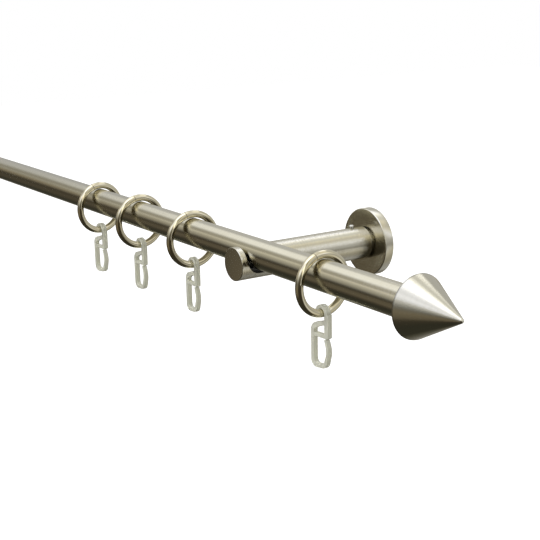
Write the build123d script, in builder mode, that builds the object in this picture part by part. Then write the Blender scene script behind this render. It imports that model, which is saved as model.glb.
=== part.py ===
from build123d import *
import math
import os

# Curtain rod with pointed finials, carried by two wall brackets, with rings and pleat hooks.
# Millimetres. X runs along the rod, -Y points into the room, +Z is up.
# The origin lies on the wall, midway between the two brackets' fixing screws.

# Rod
rod_diameter = 16.0
rod_wall = 1.0
rod_length = 1000.0
wall_distance = 80.0  # from the wall to the rod's axis
seat_drop = 3.0  # rod's underside below the arms' axis

# Rosette and the wall base that it covers: a disc with a hollow spigot, held by one screw
rosette_diameter = 38.0
rosette_depth = 5.7
rosette_wall = 1.5
rosette_skirt = 2.9
rosette_edge = 0.6
base_thickness = 2.5
spigot_engagement = 15.0  # spigot inside the arm
spigot_bore_radius = 5.0
screw_hole_radius = 2.6

# Bracket arm, with an open notch for the rod near its front end
bracket_inset = 134.0  # from the rod's end to the bracket's axis
arm_diameter = 18.0
arm_wall = 2.0
arm_gap = 1.2  # between the rosette's face and the arm
arm_front = 1.8  # whole tube left in front of the notch
arm_edge = 0.3
notch_side_gap = 1.2  # between the rod and the notch's upright sides
notch_under_gap = 1.9  # between the rod and the notch's bottom
notch_flat = 1.6  # straight part of the notch's bottom

# End cap that closes the arm's front
cap_flange = 1.5
cap_plug_gap = 0.2  # between the plug's end and the notch
cap_edge = 0.3

# Cradle under the rod, inside the arm
cradle_end_gap = 0.7  # inside each end of the notch
cradle_lip = 1.0  # cradle's top above the rod's underside

# Grub screws
arm_screw_inset = 7.9  # from the arm's end at the wall
arm_screw_radius = 1.5
arm_screw_length = 4.0
rod_screw_radius = 2.0
rod_screw_recess = 0.3
screw_edge = 0.3
socket_share = 0.5  # hexagon socket's width over the screw's diameter
socket_depth = 1.2

# Finials: a cone with a stub that carries a slit bush inside the rod
cone_radius = 15.3  # at the sharp rim, before rounding
cone_length = 30.5  # to the sharp tip, before rounding
cone_tip_radius = 1.3
cone_edge = 0.25
stub_length = 17.0
stub_nose = 2.0  # stub beyond its bush
bush_wall = 2.4
bush_slit = 1.5
bush_slit_length = 9.0

# Rings: each one's place is measured outwards from its bracket, with its small turn in degrees
ring_bore = 25.4
ring_wire = 4.2
ring_hangs = ((-187.0, 6.0), (-130.0, 1.0), (-64.5, -1.0), (62.7, 4.5))

# Pleat hooks: an open eye over the ring's wire, a stem, a small window and a spring loop
hook_thickness = 2.4
hook_width = 13.2
hook_softness = 0.3
eye_thickness = 3.0
eye_wall = 2.0
eye_end_angle = 205.0
stem_step = 0.8  # stem's outer edge outside the eye
stem_width = 3.0
stem_end_round = 1.2
bar_width = 2.4
shoulder_clear = 0.9  # shoulder below the eye's bore
shoulder_fall = 3.0
shoulder_round = 4.6
window_side = 2.0
crossbar_width = 1.9
slot_height = 13.9
slot_round = 2.6
bottom_bar = 2.1
bottom_round = 3.8
bottom_rise = 0.7
tip_gap = 0.5
tip_round = 0.4
tip_lean = 1.6  # spring leg's tip inside the stem's outer edge
foot_lean = 2.0  # spring leg's foot inside the stem's outer edge
foot_round = 3.8
bulge_drop = 6.4  # widest point of the spring leg below the crossbar
bulge_round = 9.0
bulge_swell = 0.5  # bulge outside the stem's outer edge, before rounding
spring_width = 1.8

# Clearances
slide_gap = 0.05  # between a piece and the bore that it slides or presses into
cover_gap = 0.1
hang_gap = 0.3  # between things that hang on one another

# Rod and bracket sizes that follow from the sizes above
rod_radius = rod_diameter / 2
rod_bore_radius = rod_radius - rod_wall
rod_half = rod_length / 2
rod_bottom = -seat_drop
rod_height = rod_bottom + rod_radius
bracket_x = rod_half - bracket_inset
arm_radius = arm_diameter / 2
arm_bore_radius = arm_radius - arm_wall
arm_start = rosette_depth + arm_gap
notch_width = rod_diameter + 2 * notch_side_gap
arm_end = wall_distance + notch_width / 2 + arm_front
rosette_radius = rosette_diameter / 2
base_radius = rosette_radius - rosette_skirt - cover_gap
spigot_radius = arm_bore_radius - slide_gap
spigot_reach = arm_start + spigot_engagement
bush_radius = rod_bore_radius - slide_gap
stub_radius = bush_radius - bush_wall - slide_gap
bush_length = stub_length - stub_nose

# Ring and hook sizes that follow: the hook's depths start at the centre of the ring's wire
wire_radius = ring_wire / 2
ring_radius = ring_bore / 2 + wire_radius
ring_height = rod_height + rod_radius + hang_gap - ring_bore / 2
wire_height = ring_height - ring_radius
eye_bore_radius = wire_radius + hang_gap
eye_radius = eye_bore_radius + eye_wall
stem_outer = eye_radius + stem_step
stem_inner = stem_outer - stem_width
leg_outer = stem_outer - hook_width
leg_inner = leg_outer + bar_width
shoulder_depth = eye_bore_radius + shoulder_clear
window_top = shoulder_depth + shoulder_fall + bar_width
crossbar_top = window_top + window_side
crossbar_bottom = crossbar_top + crossbar_width
slot_bottom = crossbar_bottom + slot_height
hook_depth = slot_bottom + bottom_bar

os.makedirs("parts", exist_ok=True)


def save(part, label):
    part.label = label
    export_step(part, f"parts/{label}.step")


def room_plane(x, distance):
    """Upright plane at a distance from the wall, facing the room, with local Y up."""
    return Plane((x, -distance, 0), x_dir=(1, 0, 0), z_dir=(0, -1, 0))


def cross_plane(x, height):
    """Upright plane across the rod at its distance from the wall, facing +X."""
    return Plane((x, -wall_distance, height), x_dir=(0, 1, 0), z_dir=(1, 0, 0))


def level_plane(x, distance, height, down=False):
    """Level plane over a point of an arm, facing up or down."""
    return Plane((x, -distance, height), x_dir=(1, 0, 0), z_dir=(0, 0, -1 if down else 1))


def make_wall_base(x):
    with BuildPart() as base:
        with BuildSketch(room_plane(x, 0)):
            Circle(base_radius)
        extrude(amount=base_thickness)
        with BuildSketch(room_plane(x, 0)):
            Circle(spigot_radius)
        extrude(amount=spigot_reach)
        with BuildSketch(room_plane(x, base_thickness)):
            Circle(spigot_bore_radius)
        extrude(amount=spigot_reach - base_thickness, mode=Mode.SUBTRACT)
        with BuildSketch(room_plane(x, 0)):
            Circle(screw_hole_radius)
        extrude(amount=base_thickness, mode=Mode.SUBTRACT)
    return base.part


def make_rosette(x):
    with BuildPart() as rosette:
        with BuildSketch(room_plane(x, 0)):
            Circle(rosette_radius)
        extrude(amount=rosette_depth)
        fillet(rosette.faces().sort_by(Axis.Y)[0].edges(), rosette_edge)
        with BuildSketch(room_plane(x, 0)):
            Circle(base_radius + cover_gap)
        extrude(amount=rosette_depth - rosette_wall, mode=Mode.SUBTRACT)
        with BuildSketch(room_plane(x, 0)):
            Circle(spigot_radius + cover_gap)
        extrude(amount=rosette_depth, mode=Mode.SUBTRACT)
    return rosette.part


def make_arm(x):
    with BuildPart() as arm:
        with BuildSketch(room_plane(x, arm_start)):
            Circle(arm_radius)
            Circle(arm_bore_radius, mode=Mode.SUBTRACT)
        extrude(amount=arm_end - arm_start)
        wall_end = arm.faces().sort_by(Axis.Y)[-1]
        chamfer(wall_end.edges().sort_by(SortBy.RADIUS)[-1], arm_edge)
        # Open notch that the rod is laid into from above
        with BuildSketch(cross_plane(x, rod_bottom - notch_under_gap)) as notch:
            Rectangle(notch_width, 2 * arm_diameter, align=(Align.CENTER, Align.MIN))
            fillet(notch.vertices().group_by(Axis.Y)[0], (notch_width - notch_flat) / 2)
        extrude(amount=arm_radius, both=True, mode=Mode.SUBTRACT)
        with BuildSketch(level_plane(x, arm_start + arm_screw_inset, 0)):
            Circle(arm_screw_radius + slide_gap)
        extrude(amount=arm_radius, mode=Mode.SUBTRACT)
        with BuildSketch(level_plane(x, wall_distance, 0, down=True)):
            Circle(rod_screw_radius + slide_gap)
        extrude(amount=arm_radius, mode=Mode.SUBTRACT)
    return arm.part


def make_end_cap(x):
    with BuildPart() as cap:
        with BuildSketch(room_plane(x, arm_end)):
            Circle(arm_radius)
        extrude(amount=cap_flange)
        chamfer(cap.faces().sort_by(Axis.Y)[0].edges(), cap_edge)
        with BuildSketch(room_plane(x, arm_end)):
            Circle(arm_bore_radius - slide_gap)
        extrude(amount=cap_plug_gap - arm_front)
    return cap.part


def make_cradle(x):
    with BuildPart() as cradle:
        with BuildSketch(room_plane(x, wall_distance)):
            Circle(arm_bore_radius - slide_gap)
            with Locations((0, rod_bottom + cradle_lip)):
                Rectangle(arm_diameter, arm_diameter, align=(Align.CENTER, Align.MIN), mode=Mode.SUBTRACT)
        extrude(amount=notch_width / 2 - cradle_end_gap, both=True)
        with BuildSketch(cross_plane(x, rod_height)):
            Circle(rod_radius + slide_gap)
        extrude(amount=arm_radius, both=True, mode=Mode.SUBTRACT)
        with BuildSketch(level_plane(x, wall_distance, 0, down=True)):
            Circle(rod_screw_radius + slide_gap)
        extrude(amount=arm_radius, mode=Mode.SUBTRACT)
    return cradle.part


def make_grub_screw(tip_plane, radius, length):
    """Grub screw that grows from its tip, with a hexagon socket in its outer end."""
    socket_radius = radius * socket_share
    with BuildPart() as screw:
        with BuildSketch(tip_plane):
            Circle(radius)
        extrude(amount=length)
        chamfer(screw.edges().filter_by(GeomType.CIRCLE), screw_edge)
        with BuildSketch(tip_plane.offset(length - socket_depth)):
            RegularPolygon(socket_radius, 6, major_radius=False)
        extrude(amount=socket_depth, mode=Mode.SUBTRACT)
    return screw.part


def make_rod():
    with BuildPart() as rod:
        with BuildSketch(cross_plane(-rod_half, rod_height)):
            Circle(rod_radius)
            Circle(rod_bore_radius, mode=Mode.SUBTRACT)
        extrude(amount=rod_length)
    return rod.part


def finial_plane(side):
    """Upright plane through the rod's axis, its origin at the rod's end and local X pointing out."""
    return Plane((side * rod_half, -wall_distance, rod_height), x_dir=(side, 0, 0), z_dir=(0, -side, 0))


def make_finial(side):
    plane = finial_plane(side)
    half_angle = math.atan2(cone_radius, cone_length)
    ball_centre = cone_length - cone_tip_radius / math.sin(half_angle)
    tangent = (
        ball_centre + cone_tip_radius * math.sin(half_angle),
        cone_tip_radius * math.cos(half_angle),
    )
    with BuildPart() as finial:
        with BuildSketch(plane) as profile:
            with BuildLine():
                Polyline(
                    (ball_centre + cone_tip_radius, 0),
                    (-stub_length, 0),
                    (-stub_length, stub_radius),
                    (0, stub_radius),
                    (0, cone_radius),
                    tangent,
                )
                RadiusArc(tangent, (ball_centre + cone_tip_radius, 0), cone_tip_radius)
            make_face()
            fillet(profile.vertices().sort_by(Axis.Y)[-1], cone_edge)
        revolve(axis=Axis(plane.origin, plane.x_dir))
    return finial.part


def make_bush(side):
    plane = finial_plane(side)
    end = Plane(plane.origin, x_dir=(0, 1, 0), z_dir=-plane.x_dir)
    with BuildPart() as bush:
        with BuildSketch(end):
            Circle(bush_radius)
            Circle(stub_radius + slide_gap, mode=Mode.SUBTRACT)
        extrude(amount=bush_length)
        # Crossed slits let the bush spring inside the rod
        with BuildSketch(end.offset(bush_length - bush_slit_length)):
            Rectangle(rod_diameter, bush_slit)
            Rectangle(bush_slit, rod_diameter)
        extrude(amount=bush_slit_length, mode=Mode.SUBTRACT)
    return bush.part


def hook_plane(x, turn):
    """Plane across a ring's wire at its lowest point, facing the room, with local Y up."""
    across = (math.cos(math.radians(turn)), math.sin(math.radians(turn)), 0)
    return Plane((x, -wall_distance, wire_height), x_dir=across, z_dir=(across[1], -across[0], 0))


def make_ring(x, turn):
    across = hook_plane(x, turn).x_dir
    with BuildPart(Plane((x, -wall_distance, ring_height), z_dir=across)) as ring:
        Torus(ring_radius, wire_radius)
    return ring.part


def draw_hook_body():
    """Flat outline of a hook below its eye, with the ring wire's centre at the origin."""
    # Stem, shoulder, crossbar and the top of the long leg
    frame = (
        (stem_inner, 0),
        (stem_outer, 0),
        (stem_outer, -crossbar_bottom),
        (leg_outer, -crossbar_bottom),
        (leg_outer, -shoulder_depth - shoulder_fall),
        (stem_inner, -shoulder_depth),
    )
    frame_rounds = (0, 0, stem_end_round, 0, shoulder_round, 0)
    window = (
        (stem_inner, -crossbar_top),
        (leg_inner, -crossbar_top),
        (leg_inner, -window_top),
        (stem_inner, -shoulder_depth - bar_width),
    )
    window_rounds = (0, 0, min(shoulder_round - bar_width, window_side), 0)
    # Long leg, bottom and the spring leg that bulges out and ends just under the stem
    tip_depth = crossbar_bottom + tip_gap
    tip_outer = stem_outer - tip_lean
    foot_outer = stem_outer - foot_lean
    foot_inner = foot_outer - spring_width
    bulge_outer = stem_outer + bulge_swell
    bulge_depth = crossbar_bottom + bulge_drop
    loop = (
        (leg_outer, -crossbar_top),
        (leg_outer, -hook_depth - bottom_rise / 2),
        (foot_outer, -hook_depth + bottom_rise / 2),
        (bulge_outer, -bulge_depth),
        (tip_outer, -tip_depth),
        (tip_outer - spring_width, -tip_depth),
        (bulge_outer - spring_width, -bulge_depth),
        (foot_inner, -slot_bottom + bottom_rise / 2),
        (leg_inner, -slot_bottom - bottom_rise / 2),
        (leg_inner, -crossbar_top),
    )
    outer_room = (foot_outer - leg_outer) / 2
    inner_room = (foot_inner - leg_inner) / 2
    loop_rounds = (
        0,
        min(bottom_round, outer_room),
        min(foot_round, outer_room),
        bulge_round,
        tip_round,
        tip_round,
        bulge_round - spring_width,
        min(foot_round - spring_width, inner_room),
        min(slot_round, inner_room),
        0,
    )
    with BuildSketch() as body:
        with BuildLine():
            FilletPolyline(*frame, radius=frame_rounds, close=True)
        make_face()
        with BuildLine():
            FilletPolyline(*window, radius=window_rounds, close=True)
        make_face(mode=Mode.SUBTRACT)
        with BuildLine():
            FilletPolyline(*loop, radius=loop_rounds, close=True)
        make_face()
    return body.sketch


def draw_hook_eye():
    """Open eye over the ring's wire, from the stem round to the far side."""
    end_x = eye_radius * math.cos(math.radians(eye_end_angle))
    end_y = eye_radius * math.sin(math.radians(eye_end_angle))
    mouth = (
        (0, 0),
        (end_x, end_y),
        (end_x, -eye_radius),
        (eye_radius, -eye_radius),
        (eye_radius, 0),
    )
    with BuildSketch() as eye:
        Circle(eye_radius)
        with BuildLine():
            Polyline(*mouth, close=True)
        make_face(mode=Mode.SUBTRACT)
    return eye.sketch


hook_body = draw_hook_body()
hook_eye = draw_hook_eye()


def make_hook(x, turn):
    plane = hook_plane(x, turn)
    with BuildPart() as hook:
        with BuildSketch(plane):
            add(hook_body)
        extrude(amount=hook_thickness / 2, both=True)
        chamfer(hook.faces().filter_by(Axis(plane.origin, plane.z_dir)).edges(), hook_softness)
        with BuildSketch(plane):
            add(hook_eye)
        extrude(amount=eye_thickness / 2, both=True)
        with BuildSketch(plane):
            Circle(eye_bore_radius)
        extrude(amount=eye_thickness, both=True, mode=Mode.SUBTRACT)
    return hook.part


for side_name, side in (("left", -1), ("right", 1)):
    x = side * bracket_x
    save(make_wall_base(x), f"wall_base_{side_name}")
    save(make_rosette(x), f"rosette_{side_name}")
    save(make_arm(x), f"bracket_arm_{side_name}")
    save(make_end_cap(x), f"end_cap_{side_name}")
    save(make_cradle(x), f"rod_cradle_{side_name}")
    arm_screw_tip = level_plane(x, arm_start + arm_screw_inset, spigot_radius + slide_gap)
    save(make_grub_screw(arm_screw_tip, arm_screw_radius, arm_screw_length), f"arm_screw_{side_name}")
    rod_screw_tip = level_plane(x, wall_distance, rod_bottom - slide_gap, down=True)
    rod_screw_length = arm_radius - rod_screw_recess + rod_bottom - slide_gap
    save(make_grub_screw(rod_screw_tip, rod_screw_radius, rod_screw_length), f"rod_screw_{side_name}")
    save(make_finial(side), f"finial_cone_{side_name}")
    save(make_bush(side), f"finial_bush_{side_name}")

save(make_rod(), "rod_tube")

# Rings and hooks are numbered from the left end of the rod to the right
hangs = [(-bracket_x - offset, -turn) for offset, turn in reversed(ring_hangs)]
hangs += [(bracket_x + offset, turn) for offset, turn in ring_hangs]
for number, (x, turn) in enumerate(hangs, start=1):
    save(make_ring(x, turn), f"ring_{number}")
    save(make_hook(x, turn), f"hook_{number}")
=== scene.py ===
import math
import bmesh
import bpy
from mathutils import Matrix, Vector


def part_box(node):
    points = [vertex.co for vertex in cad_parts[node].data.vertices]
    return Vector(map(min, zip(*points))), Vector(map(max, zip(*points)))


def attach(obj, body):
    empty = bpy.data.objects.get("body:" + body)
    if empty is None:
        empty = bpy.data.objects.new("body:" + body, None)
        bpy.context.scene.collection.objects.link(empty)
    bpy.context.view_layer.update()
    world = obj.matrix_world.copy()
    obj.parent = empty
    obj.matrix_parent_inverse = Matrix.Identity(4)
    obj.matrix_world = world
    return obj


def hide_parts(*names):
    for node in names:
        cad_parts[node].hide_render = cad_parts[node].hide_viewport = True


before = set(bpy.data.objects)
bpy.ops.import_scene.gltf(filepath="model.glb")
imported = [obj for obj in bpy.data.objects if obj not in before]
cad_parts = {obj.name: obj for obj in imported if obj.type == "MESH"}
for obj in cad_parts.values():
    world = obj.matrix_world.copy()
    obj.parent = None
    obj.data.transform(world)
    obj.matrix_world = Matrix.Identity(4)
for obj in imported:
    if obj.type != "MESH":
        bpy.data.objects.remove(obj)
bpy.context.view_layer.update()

# Curtain rod with cone finials on two wall brackets, with rings and clear pleat hooks.
# Sizes in the dictionaries are millimetres and degrees, and the finished meshes are metres.

mm = 0.001
sides = {"left": -1, "right": 1}
meshing = {"merge": 1e-4, "sharpAngle": 35, "cornerSteps": 6}      # for every piece


class Wire:
    # a node's socket, on which an expression adds its Math nodes
    def __init__(self, finish, socket):
        self.finish = finish
        self.socket = socket

    def math(self, operation, other=None, swapped=False):
        first, second = (other, self) if swapped else (self, other)
        values = {0: first} if other is None else {0: first, 1: second}
        return self.finish.add("Math", {"operation": operation}, values)

    def __add__(self, other):
        return self.math("ADD", other)

    def __sub__(self, other):
        return self.math("SUBTRACT", other)

    def __rsub__(self, other):
        return self.math("SUBTRACT", other, swapped=True)

    def __mul__(self, other):
        return self.math("MULTIPLY", other)

    def __truediv__(self, other):
        return self.math("DIVIDE", other)

    def __rtruediv__(self, other):
        return self.math("DIVIDE", other, swapped=True)

    def __getitem__(self, key):
        return Wire(self.finish, self.socket.node.outputs[key])

    __radd__ = __add__
    __rmul__ = __mul__


class Finish:
    # a material or the world; add makes each of its nodes
    def __init__(self, name, tree=None):
        if tree is None:
            self.material = bpy.data.materials.new(name)
            self.material.use_nodes = True
            tree = self.material.node_tree
        self.tree = tree
        tree.nodes.clear()

    def add(self, kind, settings=None, sockets=None, out=0):
        node = self.tree.nodes.new("ShaderNode" + kind)
        for key, value in (settings or {}).items():
            if key == "stops":
                self.fillRamp(node.color_ramp, value)
            else:
                setattr(node, key, value)
        for key, value in (sockets or {}).items():
            if isinstance(value, Wire):
                self.tree.links.new(value.socket, node.inputs[key])
            else:
                node.inputs[key].default_value = value
        return Wire(self, node.outputs[out]) if len(node.outputs) else node

    def fillRamp(self, ramp, stops):
        while len(ramp.elements) > 1:
            ramp.elements.remove(ramp.elements[-1])
        ramp.elements[0].position, ramp.elements[0].color = stops[0]
        for place, colour in stops[1:]:
            ramp.elements.new(place).color = colour

    def place(self):
        # where a point is on the piece itself, so that a pattern moves along with it
        return self.add("TexCoord", out="Object")

    def split(self, vector):
        first = self.add("SeparateXYZ", {}, {0: vector})
        return first, first[1], first[2]

    def mix(self, factor, first, second):
        return self.add("Mix", {"data_type": "RGBA"}, {0: factor, 6: first, 7: second}, 2)

    def smooth(self, value, low, high):
        # 0 at low and 1 at high, which may be the smaller of the two
        return self.add("MapRange", {"interpolation_type": "SMOOTHSTEP"},
                        {"Value": value, "From Min": low, "From Max": high})

    def noise(self, vector, scale, detail=2.0):
        return self.add("TexNoise", {}, {"Vector": vector, "Scale": scale, "Detail": detail})

    def stretch(self, vector, scales):
        return self.add("Mapping", {}, {"Vector": vector, "Scale": scales})

    def bump(self, height, strength, depth):
        sockets = {"Strength": strength, "Distance": depth * mm, "Height": height}
        return self.add("Bump", {}, sockets)

    def surface(self, sockets):
        return self.output(self.add("BsdfPrincipled", {}, sockets))

    def output(self, shader):
        self.add("OutputMaterial", {}, {"Surface": shader})
        return self.material


def rgb(red, green, blue):
    return (red, green, blue, 1.0)


def finishMesh(bm, name):
    bmesh.ops.remove_doubles(bm, verts=bm.verts, dist=meshing["merge"] * mm)
    bmesh.ops.recalc_face_normals(bm, faces=bm.faces)
    mesh = bpy.data.meshes.new(name)
    bm.to_mesh(mesh)
    bm.free()
    mesh.shade_smooth()
    mesh.set_sharp_from_angle(angle=math.radians(meshing["sharpAngle"]))
    piece = bpy.data.objects.new(name, mesh)
    bpy.context.scene.collection.objects.link(piece)
    return piece


def roundedFace(bm, outline, steps=meshing["cornerSteps"]):
    # flat face in the XY plane; each corner is (x, y, radius of its rounding)
    corners = [bm.verts.new((x, y, 0)) for x, y, radius in outline]
    bm.faces.new(corners)
    for corner, (x, y, radius) in zip(corners, outline):
        if radius:
            first, second = (edge.other_vert(corner).co - corner.co for edge in corner.link_edges)
            reach = radius / math.tan(first.angle(second) / 2)
            bmesh.ops.bevel(bm, geom=[corner], affect="VERTICES", offset=reach,
                            offset_type="OFFSET", segments=steps, profile=0.5, material=-1,
                            clamp_overlap=False)


def spinRound(bm, axis, angle, steps, geom=None, centre=(0, 0, 0), closed=False):
    bmesh.ops.spin(bm, geom=geom or bm.verts[:] + bm.edges[:], cent=centre, axis=axis,
                   dvec=(0, 0, 0), angle=angle, steps=steps, use_merge=closed)


def turnedPiece(name, outline, place, steps):
    # outline of (along, radius, rounding) corners, turned about the local X axis
    bm = bmesh.new()
    roundedFace(bm, outline)
    bmesh.ops.delete(bm, geom=bm.faces[:], context="FACES_ONLY")
    spinRound(bm, (1, 0, 0), math.tau, steps, closed=True)
    bmesh.ops.transform(bm, matrix=place, verts=bm.verts)
    return finishMesh(bm, name)


def axisPlace(origin, direction):
    # local X turned to the direction, scaled from millimetres to metres
    turn = Vector((1, 0, 0)).rotation_difference(Vector(direction)).to_matrix().to_4x4()
    return Matrix.Translation(origin) @ turn @ Matrix.Scale(mm, 4)


def middle(node):
    low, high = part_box(node)
    return (low + high) / 2


def paint(piece, material):
    piece.data.materials.clear()
    piece.data.materials.append(material)


def dress(piece, material, body, node):
    paint(piece, material)
    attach(piece, body)
    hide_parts(node)


# nickel: brushing lines, clouded colour, paler metal where an edge is rubbed, and painted shade on
# the cone's rim
nickel = {
    "colour": rgb(0.61, 0.585, 0.485), "dull": rgb(0.59, 0.56, 0.455),
    # rim: painted shade, a dark line on the cone's rounded rim in place of its darker reflection
    "worn": rgb(0.72, 0.70, 0.61), "rim": rgb(0.30, 0.29, 0.24),
    "fineLines": 8000, "wideLines": 1800, "cloud": 24, "grain": 2200, "stretch": 0.02,
    "lineRough": 0.06, "grainRough": 0.06, "cloudRough": 0.05, "rubbedSmooth": 0.05, "relief": 0.9,
}


def nickelShader(finish, lines, brushing, rubbed, rim=None):
    # lines is the place stretched so that noise on it makes brushing lines;
    # rubbed is 1 on worn edges and rim is 1 on the cone's rim, where a darker colour is painted
    # shade
    place = finish.place()
    fine = finish.noise(lines, nickel["fineLines"], 1.0)
    wide = finish.noise(lines, nickel["wideLines"], 3.0)
    cloud = finish.noise(place, nickel["cloud"])
    grain = finish.noise(place, nickel["grain"], 1.0)
    dulled = finish.smooth(wide * 0.45 + cloud * 0.55, 0.4, 0.64)
    colour = finish.mix(dulled, nickel["colour"], nickel["dull"])
    rough = brushing["roughness"] + (wide - 0.5) * nickel["lineRough"]
    rough = rough + (grain - 0.5) * nickel["grainRough"] + (cloud - 0.5) * nickel["cloudRough"]
    if rubbed:
        rubbed = rubbed * finish.smooth(wide + cloud, 0.75, 1.1)
        colour = finish.mix(rubbed, colour, nickel["worn"])
        rough = rough - rubbed * nickel["rubbedSmooth"]
    # painted shade: the cone's rim edge takes the dark rim colour in place of the darker reflection
    # of its rounding
    if rim:
        colour = finish.mix(rim, colour, nickel["rim"])
    height = fine * 0.8 + wide * 0.25 + grain * brushing["sparkle"]
    bump = finish.bump(height, nickel["relief"], brushing["depth"])
    return finish.surface({"Base Color": colour, "Metallic": 1.0, "Roughness": rough,
                           "Normal": bump})


def brushedNickel(name, axis, brushing, rubbed=None, rim=None):
    # brushed round the axis: the lines are tight along it and long round it;
    # rubbed and rim (the painted shade on the cone's rim) are the places along the axis, in mm,
    # where they start and are full
    finish = Finish(name)
    place = finish.place()
    scales = [1.0 if letter == axis else nickel["stretch"] for letter in "XYZ"]
    lines = finish.stretch(place, scales)
    along = finish.split(place)["XYZ".index(axis)].math("ABSOLUTE")
    masks = [finish.smooth(along, ends[0] * mm, ends[1] * mm) if ends else None
             for ends in (rubbed, rim)]
    return nickelShader(finish, lines, brushing, *masks)


# turned faces are rubbed a little way in from their outer edge and back from their front
turnedFace = {"roughness": 0.2, "depth": 0.002, "sparkle": 0.15,
              "rubbedRing": (0.8, 0.1), "rubbedDepth": (0.7, 0.1)}


def turnedNickel(name, centre, radius, front):
    # flat turned face at y = -front with lines round its centre and a rubbed front edge;
    # the left and the right side share it, so the place across is taken without its sign
    finish = Finish(name)
    x, y, z = finish.split(finish.place())
    across = x.math("ABSOLUTE") - abs(centre.x)
    height = z - centre.z
    reach = (across * across + height * height).math("SQRT")
    lines = finish.add("CombineXYZ", {}, {0: reach, 1: y, 2: 0.0})
    rubbed = finish.smooth(reach, *[(radius - inset) * mm for inset in turnedFace["rubbedRing"]])
    rubbed = rubbed * finish.smooth(y, *[(deep - front) * mm for deep in turnedFace["rubbedDepth"]])
    return nickelShader(finish, lines, turnedFace, rubbed)


plain = {"cloud": 140, "grain": 2100, "cloudRough": 0.16, "grainRough": 0.1,
         "relief": 0.2, "depth": 0.04}


def plainFinish(name, light, dark, roughness, metallic=0.0):
    finish = Finish(name)
    place = finish.place()
    cloud = finish.noise(place, plain["cloud"], 3.0)
    grain = finish.noise(place, plain["grain"])
    colour = finish.mix(finish.smooth(cloud, 0.35, 0.7), light, dark)
    rough = roughness + (cloud - 0.5) * plain["cloudRough"] + (grain - 0.5) * plain["grainRough"]
    return finish.surface({"Base Color": colour, "Metallic": metallic, "Roughness": rough,
                           "Normal": finish.bump(grain, plain["relief"], plain["depth"])})


# rod: a plain tube, softened at the rims of its two ends
rod = {"radius": 8.0, "bore": 7.0, "edge": 0.25, "steps": 96,
       "brushing": {"roughness": 0.14, "depth": 0.022, "sparkle": 0.03}}
rodLow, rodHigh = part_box("rod_tube")
rodLength = (rodHigh.x - rodLow.x) / mm
rodEnd = rodHigh.x / mm
rodAxis = Vector((rodLow.x, middle("rod_tube").y, middle("rod_tube").z))
outline = ((0, rod["bore"], 0), (0, rod["radius"], rod["edge"]),
           (rodLength, rod["radius"], rod["edge"]), (rodLength, rod["bore"], 0))
rodSleeve = turnedPiece("rodSleeve", outline, axisPlace(rodAxis, (1, 0, 0)), rod["steps"])
rodNickel = brushedNickel("nickel brushed round the rod", "X", rod["brushing"])
dress(rodSleeve, rodNickel, "rod", "rod_tube")
print("rod turned")

# finials: a cone with a small ball for its tip, and the stub that sits in the rod's end
finial = {"rim": 15.3, "rimEdge": 0.35, "length": 30.5, "tip": 1.3, "tipSteps": 8, "steps": 128,
          "stub": 4.5, "stubLength": 17.0, "stubEdge": 0.4,
          # painted shade: the dark line on the cone's rim, measured from the rod's end
          "darkRim": (1.1, 0.4),      # from the rod's end
          "rubbedTip": (2.9, 0.7),    # from the tip
          "brushing": {"roughness": 0.12, "depth": 0.024, "sparkle": 1.5}}
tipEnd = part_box("finial_cone_right")[1].x / mm
coneNickel = brushedNickel("nickel brushed round the finial", "X", finial["brushing"],
                           [tipEnd - inset for inset in finial["rubbedTip"]],
                           [rodEnd + inset for inset in finial["darkRim"]])
halfAngle = math.atan2(finial["rim"], finial["length"])


def makeFinial(side, sign):
    bm = bmesh.new()
    back = -finial["stubLength"]
    roundedFace(bm, ((back, 0, 0), (back, finial["stub"], finial["stubEdge"]),
                     (0, finial["stub"], 0), (0, finial["rim"], finial["rimEdge"]),
                     (finial["length"], 0, 0)))
    bmesh.ops.delete(bm, geom=bm.faces[:], context="FACES_ONLY")
    # the cone's line is cut where it meets the tip's ball, and an arc closes it
    tip = max(bm.verts, key=lambda vert: vert.co.x)
    axisEdge = [edge for edge in tip.link_edges if edge.other_vert(tip).co.y == 0]
    bmesh.ops.delete(bm, geom=axisEdge, context="EDGES")
    ball = finial["length"] - finial["tip"] / math.sin(halfAngle)
    tip.co.x = ball + finial["tip"] * math.sin(halfAngle)
    tip.co.y = finial["tip"] * math.cos(halfAngle)
    spinRound(bm, (0, 0, 1), halfAngle - math.pi / 2, finial["tipSteps"], [tip], (ball, 0, 0))
    spinRound(bm, (1, 0, 0), math.tau, finial["steps"], closed=True)
    start = Vector((sign * rodEnd * mm, rodAxis.y, rodAxis.z))
    bmesh.ops.transform(bm, matrix=axisPlace(start, (sign, 0, 0)), verts=bm.verts)
    cone = finishMesh(bm, "cone." + side)
    dress(cone, coneNickel, "finial_" + side, "finial_cone_" + side)


for side, sign in sides.items():
    makeFinial(side, sign)
print("finials turned")

# brackets: rosette cover against the wall, lid on the arm's front end, grub screw on its top
rosette = {"radius": 19.0, "depth": 5.7, "wall": 1.5, "hole": 7.05, "inside": 16.1,
           "edge": 0.6, "backEdge": 0.2, "holeEdge": 0.15, "steps": 128}
cap = {"radius": 9.0, "flange": 1.5, "plug": 6.95, "plugLength": 1.6,
       "edge": 0.35, "backEdge": 0.1, "plugEdge": 0.2, "steps": 128}
screw = {"radius": 1.5, "socket": 0.5, "socketDepth": 1.3,
         "point": 0.5, "top": 0.95, "socketEdge": 0.1, "steps": 48}
arm = {"rubbedEnd": 0.8, "brushing": {"roughness": 0.16, "depth": 0.05, "sparkle": 0.25}}
armMiddle = middle("bracket_arm_right")
armEnd = -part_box("bracket_arm_right")[0].y / mm
capFront = -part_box("end_cap_right")[0].y / mm
armNickel = brushedNickel("nickel brushed round the arm", "Y", arm["brushing"],
                          (armEnd - arm["rubbedEnd"], armEnd))
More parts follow.
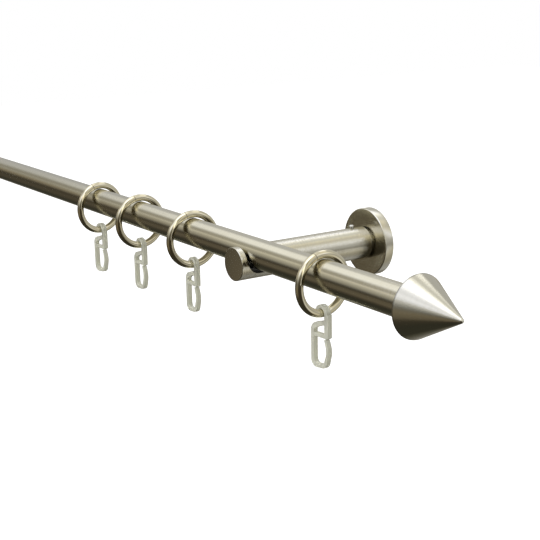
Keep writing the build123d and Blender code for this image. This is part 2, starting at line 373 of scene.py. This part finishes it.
rosetteNickel = turnedNickel("nickel turned on the rosette", armMiddle, rosette["radius"],
                             rosette["depth"])
capNickel = turnedNickel("nickel turned on the cap", armMiddle, cap["radius"], capFront)
zinc = plainFinish("zinc plate", rgb(0.70, 0.69, 0.63), rgb(0.56, 0.55, 0.5), 0.24, 1.0)
blackPlastic = plainFinish("black moulded plastic", rgb(0.045, 0.045, 0.045),
                           rgb(0.025, 0.025, 0.025), 0.5)
nylon = plainFinish("bush nylon", rgb(0.80, 0.79, 0.75), rgb(0.70, 0.69, 0.64), 0.42)


def makeRosette(side, axis):
    depth, inner = rosette["depth"], rosette["depth"] - rosette["wall"]
    outline = ((0, rosette["inside"], 0), (0, rosette["radius"], rosette["backEdge"]),
               (depth, rosette["radius"], rosette["edge"]),
               (depth, rosette["hole"], rosette["holeEdge"]),
               (inner, rosette["hole"], 0), (inner, rosette["inside"], 0))
    place = axisPlace(Vector((axis.x, 0, axis.z)), (0, -1, 0))
    cover = turnedPiece("rosetteCover." + side, outline, place, rosette["steps"])
    dress(cover, rosetteNickel, "wall_brackets", "rosette_" + side)


def makeCap(side, axis):
    flange, back = cap["flange"], cap["flange"] + cap["plugLength"]
    outline = ((0, 0, 0), (0, cap["radius"], cap["edge"]),
               (flange, cap["radius"], cap["backEdge"]), (flange, cap["plug"], 0),
               (back, cap["plug"], cap["plugEdge"]), (back, 0, 0))
    front = Vector((axis.x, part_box("end_cap_" + side)[0].y, axis.z))
    lid = turnedPiece("armCap." + side, outline, axisPlace(front, (0, 1, 0)), cap["steps"])
    dress(lid, capNickel, "wall_brackets", "end_cap_" + side)


def makeScrew(side, axis):
    low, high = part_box("arm_screw_" + side)
    tall = (high.z - low.z) / mm
    bottom = tall - screw["socketDepth"]
    outline = ((0, 0, 0), (0, screw["radius"], screw["point"]),
               (tall, screw["radius"], screw["top"]), (tall, screw["socket"], screw["socketEdge"]),
               (bottom, screw["socket"], screw["socketEdge"]), (bottom, 0, 0))
    foot = Vector((axis.x, (low.y + high.y) / 2, low.z))
    grub = turnedPiece("grubScrew." + side, outline, axisPlace(foot, (0, 0, 1)), screw["steps"])
    dress(grub, zinc, "wall_brackets", "arm_screw_" + side)


# these keep the frame's own shape and get a material
kept = {"bracket_arm_": armNickel, "wall_base_": zinc, "rod_screw_": zinc,
        "rod_cradle_": blackPlastic, "finial_bush_": nylon}
for side in sides:
    axis = middle("bracket_arm_" + side)
    makeRosette(side, axis)
    makeCap(side, axis)
    makeScrew(side, axis)
    for node, material in kept.items():
        paint(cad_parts[node + side], material)
print("brackets made")

# rings: bent wire whose two ends meet in a fine seam, polished
ring = {
    "radius": 14.8, "wire": 2.1, "wireSteps": 32, "steps": 128,
    "seam": 0.22, "seamPlace": 194, "seamStep": 3,
    "turns": (-4.5, 1, -1, -6, 6, 1, -1, 4.5),      # about the upright, ring 1 first
    "light": rgb(0.69, 0.64, 0.475), "dark": rgb(0.63, 0.57, 0.41), "cloud": 90, "grain": 900,
    "roughness": 0.06, "cloudRough": 0.06, "grainRough": 0.03, "relief": 0.1, "depth": 0.03,
}
# hooks: one moulded piece of milky clear plastic that hangs from the ring by its open eye
hook = {
    "thickness": 2.8, "eyeThickness": 3.0, "taper": (-0.9, 0.1), "eyeLeft": -5, "eyeLow": -3.2,
    "eyeBore": 2.4, "boreSteps": 3, "eyeRadius": 4.4, "eyeEnd": 205, "eyeSteps": 36,
    "stemInner": 2.2, "loopSteps": 8, "merge": 0.01,
    "softness": 0.3, "softSteps": 3, "rimAngle": 57,
    # side colours are for the flat sides; edge colours, darker, are painted shade on the thin edges
    "side": rgb(0.96, 0.96, 0.84), "sideShade": rgb(0.86, 0.86, 0.74),
    "edge": rgb(0.80, 0.80, 0.66), "edgeShade": rgb(0.72, 0.72, 0.58),
    "flow": 300, "flowStretch": 0.35, "grain": 2600, "roughness": 0.32, "flowRough": 0.1,
    "grainRough": 0.04, "relief": 0.1, "depth": 0.03,
    "clearness": 0.55, "refraction": 1.49, "coat": 0.8, "coatRoughness": 0.06,
}
# the hook's outline, drawn flat round the eye's middle as (x, y, rounding) corners:
# its stem and shoulder down to the crossbar's line
hookTop = (
    (5.2, 0, 0), (5.2, -10.7, 0), (2.2, -10.7, 0), (2.2, -5.7, 0.4), (-5.6, -8.7, 2.0),
    (-5.6, -10.7, 0), (-8.0, -10.7, 0), (-8.0, -6.3, 4.6), (2.2, -3.3, 0.4),
)
# crossbar, loop and spring leg below that line
hookLoop = (
    (5.2, -10.7, 0), (5.2, -12.6, 1.2), (-5.6, -12.6, 0.3), (-5.6, -26.85, 2.6),
    (1.4, -26.15, 2.0), (3.9, -19.0, 7.2), (1.8, -13.1, 0.4), (3.6, -13.1, 0.4),
    (5.7, -19.0, 9.0), (3.2, -28.25, 3.8), (-8.0, -28.95, 3.8), (-8.0, -10.7, 0),
    (-5.6, -10.7, 0), (2.2, -10.7, 0),
)


def polishedNickel(name):
    finish = Finish(name)
    place = finish.place()
    cloud = finish.noise(place, ring["cloud"], 3.0)
    grain = finish.noise(place, ring["grain"])
    colour = finish.mix(finish.smooth(cloud, 0.4, 0.7), ring["light"], ring["dark"])
    rough = ring["roughness"] + (cloud - 0.5) * ring["cloudRough"]
    rough = rough + (grain - 0.5) * ring["grainRough"]
    return finish.surface({"Base Color": colour, "Metallic": 1.0, "Roughness": rough,
                           "Normal": finish.bump(grain, ring["relief"], ring["depth"])})


def clearPlastic(name):
    # painted shade: the thin edges are coloured darker than the flat sides, by which way each face
    # turns, in place of the light that clear plastic loses at its edges
    finish = Finish(name)
    place = finish.place()
    across = finish.split(finish.add("NewGeometry", out="Normal"))[1].math("ABSOLUTE")
    flow = finish.noise(finish.stretch(place, (1, 1, hook["flowStretch"])), hook["flow"])
    grain = finish.noise(place, hook["grain"])
    edge = finish.mix(flow, hook["edge"], hook["edgeShade"])
    side = finish.mix(finish.smooth(flow, 0.35, 0.7), hook["side"], hook["sideShade"])
    # painted shade: faces turned edgewise take the darker edge colour
    colour = finish.mix(finish.smooth(across, 0.3, 0.9), edge, side)
    rough = hook["roughness"] + (flow - 0.5) * hook["flowRough"]
    rough = rough + (grain - 0.5) * hook["grainRough"]
    bump = finish.bump(flow, hook["relief"], hook["depth"])
    return finish.surface({"Base Color": colour, "Roughness": rough, "Normal": bump,
                           "Transmission Weight": hook["clearness"], "IOR": hook["refraction"],
                           "Coat Weight": hook["coat"], "Coat Roughness": hook["coatRoughness"]})


def makeRing(number, turn, material):
    bm = bmesh.new()
    section = Matrix.Translation((ring["radius"], 0, 0)) @ Matrix.Rotation(math.pi / 2, 4, "X")
    bmesh.ops.create_circle(bm, segments=ring["wireSteps"], radius=ring["wire"], matrix=section)
    spinRound(bm, (0, 0, 1), math.tau - ring["seam"] / ring["radius"], ring["steps"])
    bmesh.ops.remove_doubles(bm, verts=bm.verts, dist=meshing["merge"])
    bmesh.ops.edgeloop_fill(bm, edges=[edge for edge in bm.edges if len(edge.link_faces) == 1])
    # the seam sits near the top, a few degrees apart from ring to ring
    seamTurn = Matrix.Rotation(
        math.radians(ring["seamPlace"] + ring["seamStep"] * (number % 3)), 3, "Z")
    bmesh.ops.rotate(bm, verts=bm.verts, cent=(0, 0, 0), matrix=seamTurn)
    upright = Matrix.Rotation(math.radians(turn), 4, "Z") @ Matrix.Rotation(math.pi / 2, 4, "Y")
    place = Matrix.Translation(middle(f"ring_{number}")) @ upright @ Matrix.Scale(mm, 4)
    bmesh.ops.transform(bm, matrix=place, verts=bm.verts)
    piece = finishMesh(bm, f"wireRing.{number}")
    dress(piece, material, f"ring_{number}", f"ring_{number}")


def hookFace(bm):
    # the stem's inner line runs into the eye's bore and follows it up to the eye's middle
    start = math.acos(hook["stemInner"] / hook["eyeBore"])
    angles = [-start * (1 - step / hook["boreSteps"]) for step in range(hook["boreSteps"] + 1)]
    bore = [(hook["eyeBore"] * math.cos(angle), hook["eyeBore"] * math.sin(angle), 0)
            for angle in angles]
    roundedFace(bm, [*hookTop, *bore, (hook["eyeRadius"], 0, 0)])
    roundedFace(bm, hookLoop, hook["loopSteps"])
    # the eye is spun from the stem's top round to its open end
    ends = [bm.verts.new((hook["eyeBore"], 0, 0)), bm.verts.new((hook["eyeRadius"], 0, 0))]
    spinRound(bm, (0, 0, 1), math.radians(hook["eyeEnd"]), hook["eyeSteps"],
              ends + [bm.edges.new(ends)])
    bmesh.ops.remove_doubles(bm, verts=bm.verts, dist=hook["merge"])
    bmesh.ops.recalc_face_normals(bm, faces=bm.faces)


def thickenHook(bm):
    bmesh.ops.translate(bm, vec=(0, 0, -hook["thickness"] / 2), verts=bm.verts)
    raised = bmesh.ops.extrude_face_region(bm, geom=bm.faces[:])["geom"]
    bmesh.ops.translate(bm, vec=(0, 0, hook["thickness"]),
                        verts=[part for part in raised if isinstance(part, bmesh.types.BMVert)])
    bmesh.ops.recalc_face_normals(bm, faces=bm.faces)
    # the rims of the two flat sides are softened
    rims = [edge for edge in bm.edges if len(edge.link_faces) == 2
            and edge.calc_face_angle(0) > math.radians(hook["rimAngle"])
            and abs(edge.verts[0].co.z - edge.verts[1].co.z) < hook["merge"]]
    bmesh.ops.bevel(bm, geom=rims, affect="EDGES", offset=hook["softness"], offset_type="OFFSET",
                    segments=hook["softSteps"], profile=0.5, material=-1, clamp_overlap=False,
                    miter_outer="ARC")
    # the eye is a little thicker than the legs
    low, high = hook["taper"]
    for level in hook["taper"]:
        bmesh.ops.bisect_plane(bm, geom=bm.verts[:] + bm.edges[:] + bm.faces[:],
                               plane_co=(0, level, 0), plane_no=(0, 1, 0))
    for vert in bm.verts:
        if vert.co.x > hook["eyeLeft"] and vert.co.y > hook["eyeLow"]:
            share = min(max((vert.co.y - low) / (high - low), 0), 1)
            vert.co.z *= 1 + (hook["eyeThickness"] / hook["thickness"] - 1) * share


def makeHook(number, turn, material):
    bm = bmesh.new()
    hookFace(bm)
    thickenHook(bm)
    # drawn in XY, it stands upright under the ring's lowest point and turns with the ring
    foot = middle(f"ring_{number}") - Vector((0, 0, ring["radius"] * mm))
    place = Matrix.Translation(foot) @ Matrix.Rotation(math.radians(turn), 4, "Z")
    place = place @ Matrix.Rotation(math.pi / 2, 4, "X") @ Matrix.Scale(mm, 4)
    bmesh.ops.transform(bm, matrix=place, verts=bm.verts)
    piece = finishMesh(bm, f"pleatHook.{number}")
    dress(piece, material, f"hook_{number}", f"hook_{number}")


ringNickel = polishedNickel("polished nickel")
hookPlastic = clearPlastic("milky clear plastic")
for number, turn in enumerate(ring["turns"], start=1):
    makeRing(number, turn, ringNickel)
    makeHook(number, turn, hookPlastic)
print("rings and hooks made")

# studio, in metres: pale floor, soft lamps, and a light tent that only gloss and clear plastic see
studio = {
    "floorLevel": -3.2, "floorSize": 60.0, "floorGlow": 0.8,
    "floorLight": rgb(0.86, 0.86, 0.85), "floorDark": rgb(0.83, 0.83, 0.83),
    "white": rgb(1, 1, 1), "worldLight": 0.62, "aim": (0.3, -0.05, 0),
    "tentRadius": 1.0, "tentLength": 12.0, "tentMiddle": 0.4, "tentSteps": 180, "brightest": 2.0,
    # each lamp's place, size and power
    "lamps": {"key": ((-1.6, -2.0, 2.3), 1.6, 62), "fill": ((2.2, -1.6, 1.0), 1.8, 26),
              "back": ((0.2, 1.8, 1.8), 1.6, 24)},
}


def seenDirectly(finish):
    # 1 for camera, mirror and clear rays
    path = finish.add("LightPath", out="Is Camera Ray")
    return path.math("MAXIMUM", path["Is Glossy Ray"]).math("MAXIMUM", path["Is Transmission Ray"])


def makeFloor():
    bm = bmesh.new()
    bmesh.ops.create_grid(bm, x_segments=1, y_segments=1, size=studio["floorSize"] / 2)
    bmesh.ops.translate(bm, vec=(0, 0, studio["floorLevel"]), verts=bm.verts)
    floor = finishMesh(bm, "floor")
    paper = Finish("pale floor paper")
    grain = paper.noise(paper.place(), 3.0)
    matt = paper.add("BsdfDiffuse", {}, {
        "Color": paper.mix(grain, studio["floorLight"], studio["floorDark"])})
    glow = paper.add("Emission", {}, {
        "Color": studio["white"], "Strength": seenDirectly(paper) * studio["floorGlow"]})
    paint(floor, paper.output(paper.add("AddShader", {}, {0: matt, 1: glow})))


def makeWorld():
    world = bpy.data.worlds.new("studio")
    world.use_nodes = True
    bpy.context.scene.world = world
    sky = Finish("studio", world.node_tree)
    level = seenDirectly(sky) * (1 - studio["worldLight"]) + studio["worldLight"]
    light = sky.add("Background", {}, {"Color": studio["white"], "Strength": level})
    sky.add("OutputWorld", {}, {"Surface": light})


def makeLamps():
    for name, (place, size, power) in studio["lamps"].items():
        lamp = bpy.data.lights.new(name, "AREA")
        lamp.shape = "RECTANGLE"
        lamp.size = lamp.size_y = size
        lamp.energy = power
        holder = bpy.data.objects.new(name, lamp)
        holder.location = place
        aim = Vector(studio["aim"]) - Vector(place)
        holder.rotation_euler = aim.to_track_quat("-Z", "Y").to_euler()
        holder.visible_glossy = False
        bpy.context.scene.collection.objects.link(holder)


tints = {"brown": (1, 0.85, 0.6), "olive": (1, 0.96, 0.7), "warm": (1, 0.95, 0.81),
         "plain": (1, 1, 0.99), "cool": (1, 1.03, 1.18)}

# The tent's light as (angle, light, tint) round the rod: 0 faces the room, 90 is up and 180 is
# the wall side. Each is for one stretch of the tent, from its left end to its right end.
wholeTurn = (-180, 180)
farEnd = (
    (-180, 0.48, "warm"), (-162, 0.34, "warm"), (-138, 0.32, "warm"), (-122, 0.2, "warm"),
    (-108, 0.07, "olive"), (-94, 0.045, "olive"), (-78, 0.045, "olive"), (-54, 0.085, "brown"),
    (-30, 0.085, "brown"), (-12, 0.065, "brown"), (4, 0.17, "brown"), (18, 0.31, "brown"),
    (36, 0.4, "warm"), (60, 0.35, "warm"), (88, 0.6, "plain"), (128, 0.57, "plain"),
    (145, 0.47, "plain"), (180, 0.48, "plain"),
)
leftHalf = (
    (-180, 0.52, "warm"), (-162, 0.34, "warm"), (-138, 0.3, "warm"), (-120, 0.18, "warm"),
    (-106, 0.1, "olive"), (-92, 0.06, "olive"), (-60, 0.04, "olive"), (-46, 0.08, "brown"),
    (-34, 0.16, "brown"), (-16, 0.14, "brown"), (-5, 0.06, "brown"), (3, 0.14, "warm"),
    (14, 0.4, "warm"), (28, 0.6, "warm"), (38, 0.85, "warm"), (46, 0.5, "warm"),
    (59, 0.5, "warm"), (68, 0.84, "plain"), (76, 1.3, "plain"), (108, 1.26, "plain"),
    (116, 0.92, "plain"), (122, 0.68, "plain"), (150, 0.64, "plain"), (180, 0.54, "warm"),
)
middlePart = (
    (-180, 0.5, "plain"), (-164, 0.32, "warm"), (-145, 0.22, "warm"), (-122, 0.14, "warm"),
    (-106, 0.09, "olive"), (-97, 0.045, "olive"), (-60, 0.042, "olive"), (-40, 0.06, "brown"),
    (-28, 0.16, "brown"), (-12, 0.22, "brown"), (0, 0.2, "warm"), (9, 0.34, "plain"),
    (20, 0.7, "plain"), (30, 1.2, "cool"), (39, 1.38, "cool"), (47, 1.15, "cool"),
    (57, 1.3, "cool"), (66, 1.9, "cool"), (90, 2.0, "cool"), (97, 1.6, "plain"),
    (106, 0.96, "plain"), (124, 0.84, "plain"), (142, 0.64, "plain"), (180, 0.56, "plain"),
)
rightSide = (
    (-180, 0.5, "plain"), (-160, 0.26, "warm"), (-122, 0.1, "brown"), (-100, 0.04, "brown"),
    (-20, 0.05, "brown"), (5, 0.1, "brown"), (28, 0.25, "warm"), (40, 0.55, "warm"),
    (47, 1.7, "warm"), (60, 1.9, "plain"), (66, 0.6, "olive"), (78, 0.35, "olive"),
    (92, 0.9, "warm"), (108, 0.9, "warm"), (124, 0.7, "plain"), (180, 0.56, "plain"),
)
# Its light as (slope to the right, light, tint), for the wall side above and below the rod.
wholeWidth = (-2, 2)
upperBack = (
    (-2, 0.7, "plain"), (-0.95, 0.86, "plain"), (-0.76, 1.1, "plain"), (-0.58, 1.6, "cool"),
    (-0.4, 1.95, "cool"), (-0.24, 1.7, "plain"), (-0.1, 1.05, "plain"), (0.03, 0.97, "plain"),
    (0.18, 1.2, "warm"), (0.35, 0.98, "warm"), (0.5, 0.86, "warm"), (0.68, 1.1, "plain"),
    (0.88, 1.3, "cool"), (1.1, 1.0, "plain"), (1.28, 0.64, "plain"), (2, 0.6, "plain"),
)
lowerBack = (
    (-2, 0.4, "plain"), (-0.8, 0.44, "plain"), (-0.3, 0.48, "plain"), (0.02, 0.44, "plain"),
    (0.3, 0.42, "warm"), (0.48, 0.45, "warm"), (0.85, 0.7, "warm"), (1.05, 0.8, "plain"),
    (1.35, 0.66, "plain"), (1.65, 0.25, "warm"), (2, 0.15, "brown"),
)
# where each takes over from the one before, by slope: start and full
takeOver = ((leftHalf, (-2.45, -1.1)), (middlePart, (-0.75, -0.35)), (rightSide, (0.28, 0.5)))
# patches of the wall side: the angles where each fades in and out, and the slopes as above
patches = ((upperBack, (114, 122, 132, 138), (-1.0, -0.8)),
           (upperBack, (130, 136, 158, 170), (0.35, 0.55)),
           (lowerBack, (-172, -160, -126, -114), (-0.46, -0.28)))


def tentLight(tent, value, places, stops):
    # a ramp between the two places; its light is scaled down, because a ramp ends at 1
    low, high = places
    scaled = [((place - low) / (high - low),
               rgb(*[light / studio["brightest"] * part for part in tints[tint]]))
              for place, light, tint in stops]
    return tent.add("ValToRGB", {"stops": scaled}, {0: (value - low) / (high - low)})


def makeTent():
    tent = Finish("light tent")
    x, y, z = tent.split(tent.place())
    angle = (z - rodAxis.z).math("ARCTAN2", (y - rodAxis.y) * -1) * (180 / math.pi)
    slope = (x - studio["tentMiddle"]) / studio["tentRadius"]
    light = tentLight(tent, angle, wholeTurn, farEnd)
    for stops, slopes in takeOver:
        taken = tentLight(tent, angle, wholeTurn, stops)
        light = tent.mix(tent.smooth(slope, *slopes), light, taken)
    for stops, (start, full, fullEnd, end), slopes in patches:
        inside = tent.smooth(angle, start, full) * tent.smooth(angle, end, fullEnd)
        patch = tentLight(tent, slope, wholeWidth, stops)
        light = tent.mix(inside * tent.smooth(slope, *slopes), light, patch)
    lit = tent.add("Emission", {}, {"Color": light, "Strength": studio["brightest"]})
    material = tent.output(lit)
    material.cycles.emission_sampling = "NONE"
    lying = Matrix.Translation((studio["tentMiddle"], rodAxis.y, rodAxis.z))
    lying = lying @ Matrix.Rotation(math.pi / 2, 4, "Y")
    bm = bmesh.new()
    bmesh.ops.create_cone(bm, cap_ends=False, segments=studio["tentSteps"], matrix=lying,
                          radius1=studio["tentRadius"], radius2=studio["tentRadius"],
                          depth=studio["tentLength"])
    shell = finishMesh(bm, "lightTent")
    paint(shell, material)
    shell.visible_camera = shell.visible_diffuse = shell.visible_shadow = False


makeFloor()
makeWorld()
makeTent()
makeLamps()
print("studio lit")

# camera: its place in metres, its turns in radians and its lens in pixels of the frame
view = {"place": (0.88369, -0.40742, 0.14781), "yaw": 0.9916, "pitch": 0.2462, "roll": -0.02024,
        "focal": 1187.85, "centre": (271.23, 271.81), "frame": 540, "sensor": 36.0,
        "nearest": 0.02, "furthest": 100.0}


def turned(first, second, angle):
    # two directions turned by an angle in their own plane
    return (math.cos(angle) * first + math.sin(angle) * second,
            math.cos(angle) * second - math.sin(angle) * first)


right, ahead = turned(Vector((1, 0, 0)), Vector((0, 1, 0)), view["yaw"])
up, ahead = turned(Vector((0, 0, 1)), ahead, view["pitch"])
right, up = turned(right, up, view["roll"])
camera = bpy.data.objects.new("camera", bpy.data.cameras.new("camera"))
axes = Matrix((right, up, -ahead)).transposed().to_4x4()
camera.matrix_world = Matrix.Translation(view["place"]) @ axes
camera.data.sensor_width = view["sensor"]
camera.data.lens = view["focal"] * view["sensor"] / view["frame"]
camera.data.shift_x = (view["frame"] / 2 - view["centre"][0]) / view["frame"]
camera.data.shift_y = (view["centre"][1] - view["frame"] / 2) / view["frame"]
camera.data.clip_start, camera.data.clip_end = view["nearest"], view["furthest"]
bpy.context.scene.collection.objects.link(camera)
bpy.context.scene.camera = camera
bpy.context.scene.view_settings.view_transform = "Standard"
print("camera set")
